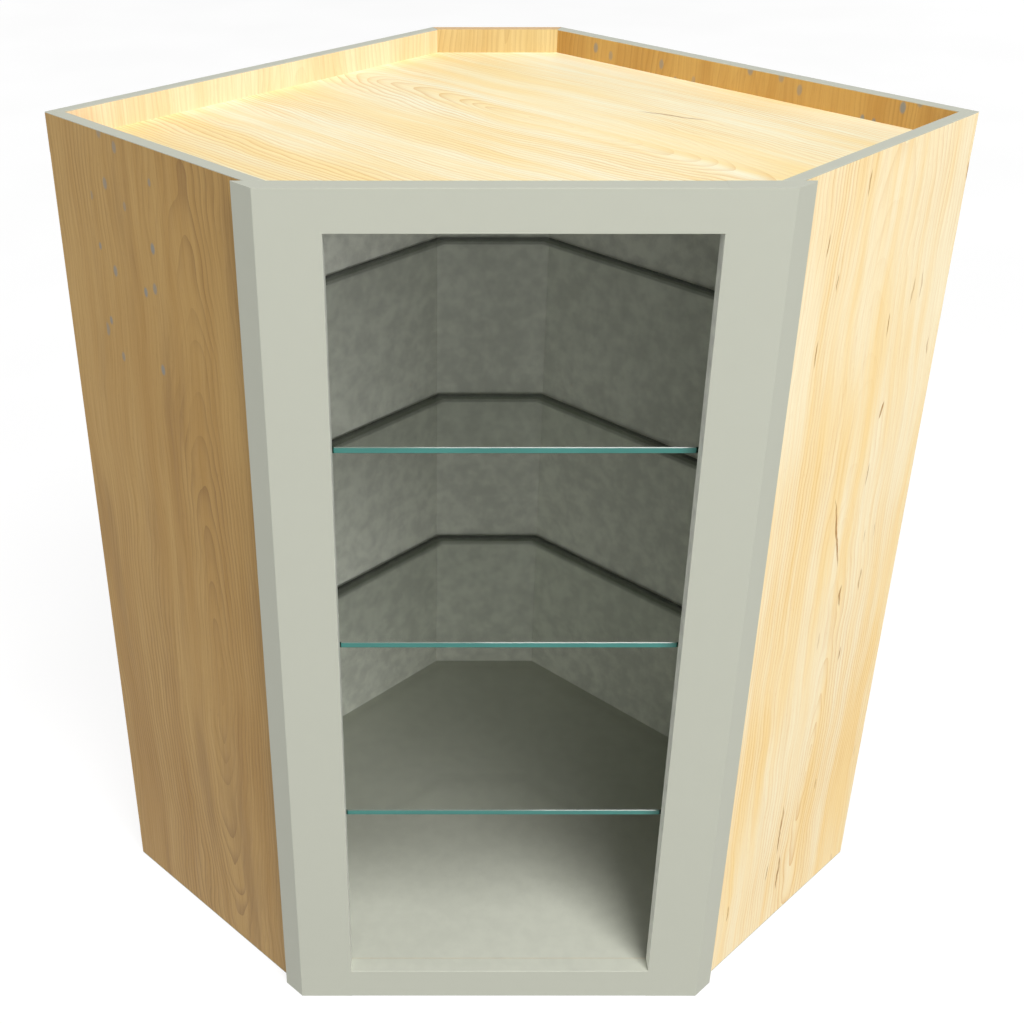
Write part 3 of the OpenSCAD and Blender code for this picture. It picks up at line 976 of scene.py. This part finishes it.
# %% Edge bands
BAND_EASE = 0.00025
for side in SIDES:
    for run in ("end", "back"):
        node = f"{side}_{run}_bands"
        bands = copy_solid(node, "trimmed")
        ease(bands, BAND_EASE, lambda edge: is_level(edge)
             and any(abs(middle(edge).z - level) < NEAR for level in (0, case_h)), 1)
        paint_whole(bands, band_paint)
        stand_for(bands, node)

# %% [markdown]
# ## Glue blocks
#
# Short three-cornered blocks are glued into the angle under the bottom panel. They are sawn
# from a longer stick, so their ends are rough and their corners are knocked off.

# %% Glue blocks
BLOCK_EASE = 0.0012
blocks = copy_solid("underside_blocks", "sawn")
ease(blocks, BLOCK_EASE, lambda edge: True)
paint_whole(blocks, block_wood)
stand_for(blocks, "underside_blocks")

# %% [markdown]
# ## Screws
#
# A screw is known by the recess in its head. The heads are found as the round flat faces of
# the right size in the solids, which also gives the way each screw points. One cutter is
# modelled for each kind of recess, a copy of it is laid on every head, and a Boolean modifier
# cuts them all out at once.

# %% Find round faces


def round_faces(node, radius):
    """The middle and normal of each flat round face of that radius."""
    probe = copy_solid(node, "probe")
    area = math.pi * radius ** 2
    found = [(face.center.copy(), face.normal.copy()) for face in probe.data.polygons
             if len(face.vertices) > 12 and abs(face.area / area - 1) < 0.05]
    bpy.data.objects.remove(probe)
    return found


def stand_on(centre, normal):
    """The matrix that stands a shape on a face, with its z along the normal."""
    turn = Vector(normal).to_track_quat("Z", "Y").to_matrix().to_4x4()
    return Matrix.Translation(centre) @ turn


def copies_at(shape, name, spots):
    """One mesh of many copies of a shape, each moved by its own matrix."""
    copies = []
    for spot in spots:
        copy = new_piece(name, shape.data.copy())
        copy.data.transform(spot)
        copies.append(copy)
    bpy.data.objects.remove(shape)
    activate(*copies)
    bpy.ops.object.join()
    joined = bpy.context.view_layer.objects.active
    joined.name = name
    return joined


print("helpers for repeated shapes are ready")

# %% Cutters for the recesses
RECESS_DEPTH = 0.0016
BACK_HEAD_RADIUS = 0.004
POCKET_HEAD_RADIUS = 0.0035
CROSS_REACH = 0.0024
CROSS_WIDTH = 0.0009
SQUARE_WIDTH = 0.0024
METAL_SMOOTH = 32


def cross_cutter(reach, width):
    """Two crossed bars whose lower ends taper, like the point of a screwdriver."""
    bpy.ops.object.select_all(action="DESELECT")
    bpy.ops.mesh.primitive_cube_add(size=1, scale=(2 * reach, width, 2 * RECESS_DEPTH))
    bar = bpy.context.active_object
    bpy.ops.object.transform_apply(location=False, rotation=False, scale=True)
    edit(bar, "FACE", lambda face: face.normal.z < -SQUARE_ON)
    bpy.ops.transform.resize(value=(0.45, 0.7, 1))
    leave()
    other = new_piece("other_bar", bar.data.copy())
    other.data.transform(Matrix.Rotation(math.radians(90), 4, "Z"))
    carve(bar, "UNION", other)
    return bar


def square_cutter(width):
    """A square peg that narrows a little towards its end."""
    bpy.ops.object.select_all(action="DESELECT")
    bpy.ops.mesh.primitive_cube_add(size=1, scale=(width, width, 2 * RECESS_DEPTH))
    peg = bpy.context.active_object
    bpy.ops.object.transform_apply(location=False, rotation=False, scale=True)
    edit(peg, "FACE", lambda face: face.normal.z < -SQUARE_ON)
    bpy.ops.transform.resize(value=(0.85, 0.85, 1))
    leave()
    return peg


def finish_screws(node, head_radius, cutter):
    """Cuts a recess into each head of a group of screws and smooths the shading of their round
    parts.
    """
    heads = round_faces(node, head_radius)
    screws = copy_solid(node, "plated")
    cutters = copies_at(cutter, "recesses", [stand_on(*head) for head in heads])
    carve(screws, "DIFFERENCE", cutters)
    paint_whole(screws, zinc)
    smooth(screws, METAL_SMOOTH)
    stand_for(screws, node)
    print(f"cut {len(heads)} recesses")


finish_screws("back_screws", BACK_HEAD_RADIUS, cross_cutter(CROSS_REACH, CROSS_WIDTH))
finish_screws("pocket_screws", POCKET_HEAD_RADIUS, square_cutter(SQUARE_WIDTH))

# %% [markdown]
# ## Shelf pins
#
# Each shelf lies on six pins: a round peg in the panel, and a strip of sheet steel bent into a
# ledge. The strip is modelled as a cube that is stretched to the plate, with the ledge
# extruded from its top, and its bend and corners rounded. One pin is finished and then copied
# to each hole.

# %% Model one shelf pin
PEG_RADIUS = 0.003175
PEG_LENGTH = 0.0085
PLATE = 0.0016
PLATE_WIDTH = 0.010
PLATE_LOW = -0.007
PLATE_HIGH = 0.007
LEDGE_REACH = 0.010
BEND_RADIUS = 0.0014
PLATE_CORNER = 0.0016
PLATE_EASE = 0.00015
PEG_EASE = 0.0005
RIVET_GAP = 0.0005
RIVET_HEIGHT = 0.0003


def shelf_pin():
    """A shelf pin: its peg's end is at the origin, the case lies towards -z, up is +y."""
    bpy.ops.object.select_all(action="DESELECT")
    height = PLATE_HIGH - PLATE_LOW
    bpy.ops.mesh.primitive_cube_add(
        size=1, location=(0, (PLATE_HIGH + PLATE_LOW) / 2, -PEG_LENGTH - PLATE / 2),
        scale=(PLATE_WIDTH, height, PLATE))
    bracket = bpy.context.active_object
    bpy.ops.object.transform_apply()
    edit(bracket)
    bpy.ops.mesh.bisect(plane_co=(0, PLATE_HIGH - PLATE, 0), plane_no=(0, 1, 0))
    leave()
    edit(bracket, "FACE", lambda face: face.normal.z < -SQUARE_ON
         and face.calc_center_median().y > PLATE_HIGH - PLATE)
    bpy.ops.mesh.extrude_region_move(
        TRANSFORM_OT_translate={"value": (0, 0, -(LEDGE_REACH - PLATE))})
    leave()

    def on_bend(edge):
        return (runs_along(edge, (1, 0, 0), PLATE_WIDTH / 2)
                and middle(edge).y > PLATE_HIGH - NEAR
                and middle(edge).z > -PEG_LENGTH - NEAR)

    def on_outer_corner(edge):
        spot = middle(edge)
        return (edge.calc_length() < PLATE + NEAR
                and abs(abs(spot.x) - PLATE_WIDTH / 2) < NEAR
                and (spot.y < PLATE_LOW + NEAR or spot.z < -PEG_LENGTH - LEDGE_REACH + NEAR))

    ease(bracket, BEND_RADIUS, on_bend, 5)
    ease(bracket, PLATE_CORNER, on_outer_corner, 4)
    ease(bracket, PLATE_EASE, lambda edge: edge.calc_face_angle(0) > 1.2, 1)

    bpy.ops.object.select_all(action="DESELECT")
    bpy.ops.mesh.primitive_cylinder_add(vertices=32, radius=PEG_RADIUS, depth=PEG_LENGTH,
                                        location=(0, 0, -PEG_LENGTH / 2))
    peg = bpy.context.active_object
    bpy.ops.object.transform_apply()
    ease(peg, PEG_EASE, lambda edge: middle(edge).z > -NEAR, 3)
    edit(peg, "FACE", lambda face: face.normal.z < -SQUARE_ON)
    bpy.ops.mesh.inset(thickness=PEG_RADIUS * 0.35)
    bpy.ops.transform.translate(value=(0, 0, -PLATE - RIVET_GAP))
    bpy.ops.mesh.inset(thickness=PEG_RADIUS * 0.2)
    bpy.ops.transform.translate(value=(0, 0, -RIVET_HEIGHT))
    leave()
    activate(peg, bracket)
    bpy.ops.object.join()
    pin = bpy.context.view_layer.objects.active
    pin.name = "pin_pattern"
    return pin


pattern = shelf_pin()
print("one shelf pin has", len(pattern.data.polygons), "faces")

# %% Copy the pins and pads to every shelf
SHELVES = ("lower", "middle", "upper")
PAD_EASE = 0.0004
PAD_SMOOTH = 40


def upright_on(centre, normal):
    """The matrix that stands a pin in its hole, with its own y pointing up."""
    outward = Vector(normal).normalized()
    across = Vector(UP).cross(outward)
    turn = Matrix((across, Vector(UP), outward)).transposed().to_4x4()
    return Matrix.Translation(centre) @ turn


for shelf in SHELVES:
    node = shelf + "_shelf_pins"
    holes = round_faces(node, PEG_RADIUS)
    one = new_piece("pin_copy", pattern.data.copy())
    pins = copies_at(one, node + "_plated", [upright_on(*hole) for hole in holes])
    paint_whole(pins, nickel)
    smooth(pins, METAL_SMOOTH)
    stand_for(pins, node)
    pads = copy_solid(shelf + "_shelf_pads", "soft")
    ease(pads, PAD_EASE, lambda edge: True, 3)
    paint_whole(pads, vinyl)
    smooth(pads, PAD_SMOOTH)
    stand_for(pads, shelf + "_shelf_pads")
bpy.data.objects.remove(pattern)

# %% [markdown]
# ## Glass shelves
#
# The corners of the glass are ground to a narrow flat, called an arris. A bevel of one segment
# makes it. It catches the light as a thin line along the front of each shelf, so the upper and
# the lower arris get their own tones, a painted shade and a painted highlight. The clipped front
# corners, close to the cleats, are painted dark, as painted shadow of the stiles. The rear edges
# are painted grey, partly as a glass edge looks and partly as painted shade of the walls beside
# them.

# %% Glass shelves
ARRIS = 0.0007
FRONT_ZONE = 0.002
CLIPPED_ZONE = 0.03
front_glass_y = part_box("middle_glass_shelf")[0].y
for shelf in SHELVES:
    node = shelf + "_glass_shelf"
    glass = copy_solid(node, "polished")
    ease(glass, ARRIS, is_level, 1)

    def choose(centre, normal):
        if abs(normal.z) > SQUARE_ON:
            return glass_face
        if normal.y < -0.6 and centre.y < front_glass_y + FRONT_ZONE:
            if abs(normal.z) < 0.3:
                return front_edge
            return upper_arris if normal.z > 0 else lower_arris
        # Painted shadow on the clipped front corners, and partly painted shade on the rear edges.
        return painted_shadow_edge if centre.y < front_glass_y + CLIPPED_ZONE else shaded_rear_edge

    paint_faces(glass, [glass_face, front_edge, upper_arris, lower_arris, painted_shadow_edge, shaded_rear_edge],
                choose)
    stand_for(glass, node)

# %% [markdown]
# ## Light
#
# The photograph has plain studio light. The front, the right side and the top are about
# equally bright, the left side is darker, and the right stile shades the floor of the case:
# so the key lamp stands in front, high and to the right. It is 5 m wide, because the shadows
# are soft. Two lower ones, from the right and from nearly straight ahead, reach the back walls
# under the glass. One fills the left side, and two fill the panels at the back.
#
# The world is white to the camera, in reflections and through the glass, and dimmer as a
# light, so that a colour renders about as it is written.

# %% World and lamps
WORLD_LIGHT = 0.12


def world_light(strength):
    """A white world, whose own light on the object has this strength."""
    world = bpy.data.worlds.new("studio")
    bpy.context.scene.world = world
    world.use_nodes = True
    tree = world.node_tree
    background = tree.nodes["Background"]
    background.inputs["Color"].default_value = (1, 1, 1, 1)
    feed(tree, background.inputs["Strength"],
         calc(tree, "MULTIPLY_ADD", seen_directly(tree), 1 - strength, strength))


def soft_lamp(name, azimuth, elevation, distance, size, share):
    """A square soft lamp. Its share is how bright it alone would light a white card."""
    aim = Vector((0, 0, case_h / 2))
    turn, tilt = math.radians(azimuth), math.radians(elevation)
    way = Vector((math.sin(turn) * math.cos(tilt), -math.cos(turn) * math.cos(tilt),
                  math.sin(tilt)))
    data = bpy.data.lights.new(name, "AREA")
    data.size = size
    data.energy = share * (math.pi * distance) ** 2
    lamp = bpy.data.objects.new(name, data)
    lamp.location = aim + way * distance
    lamp.rotation_euler = way.to_track_quat("Z", "Y").to_euler()
    bpy.context.scene.collection.objects.link(lamp)
    print(f"{name}: {data.energy:.0f} W at {distance} m")


world_light(WORLD_LIGHT)
soft_lamp("key", azimuth=23, elevation=55, distance=12.0, size=5.0, share=0.915)
soft_lamp("low_right", azimuth=28, elevation=12, distance=8.0, size=3.2, share=0.27)
soft_lamp("low_front", azimuth=-3, elevation=10, distance=8.0, size=4.0, share=0.12)
soft_lamp("left_fill", azimuth=-72, elevation=14, distance=8.0, size=4.0, share=0.27)
soft_lamp("left_back_fill", azimuth=225, elevation=6, distance=8.0, size=2.4, share=0.28)
soft_lamp("right_back_fill", azimuth=135, elevation=6, distance=8.0, size=2.4, share=0.28)

# %% [markdown]
# ## Floor
#
# The cabinet stands on a plain pale floor. To the camera it is nearly all its own white, and a
# share of real diffuse shading keeps the object's shadow. As a light bounce it is only light
# grey, so that it doesn't brighten the underside too much.

# %% Floor
FLOOR_DROP = 0.0005
FLOOR_SIZE = 24
FLOOR_GRAIN = (2, 2, 2)
bpy.ops.object.select_all(action="DESELECT")
bpy.ops.mesh.primitive_plane_add(size=FLOOR_SIZE, location=(0, 0, -FLOOR_DROP))
floor = bpy.context.active_object
floor.name = "floor"
bpy.ops.object.transform_apply()


def floor_material(glow, shade, bounce):
    """White to the camera, with a share of shading, and grey as a source of bounced light."""
    material, tree, shader = new_material("floor_card")
    tree.nodes.remove(shader)
    tone = ramp(tree, noise(tree, object_coordinates(tree), FLOOR_GRAIN), 0.3, 0.7, 0.99, 1.01)
    shown = step(tree, "AddShader", {
        0: step(tree, "Emission", {"Color": grey(tree, tone), "Strength": glow}),
        1: step(tree, "BsdfDiffuse", {"Color": (shade, shade, shade, 1)})})
    both = step(tree, "MixShader", {
        0: seen_directly(tree), 2: shown,
        1: step(tree, "BsdfDiffuse", {"Color": (bounce, bounce, bounce, 1)})})
    tree.links.new(both, tree.nodes["Material Output"].inputs[0])
    return material


floor.data.materials.append(floor_material(glow=0.85, shade=0.17, bounce=0.22))
print("the floor is", FLOOR_SIZE, "m wide")

# %% [markdown]
# ## End
#
# The picture shows colours as they are, through the standard view transform.

# %% End
bpy.context.scene.view_settings.view_transform = "Standard"
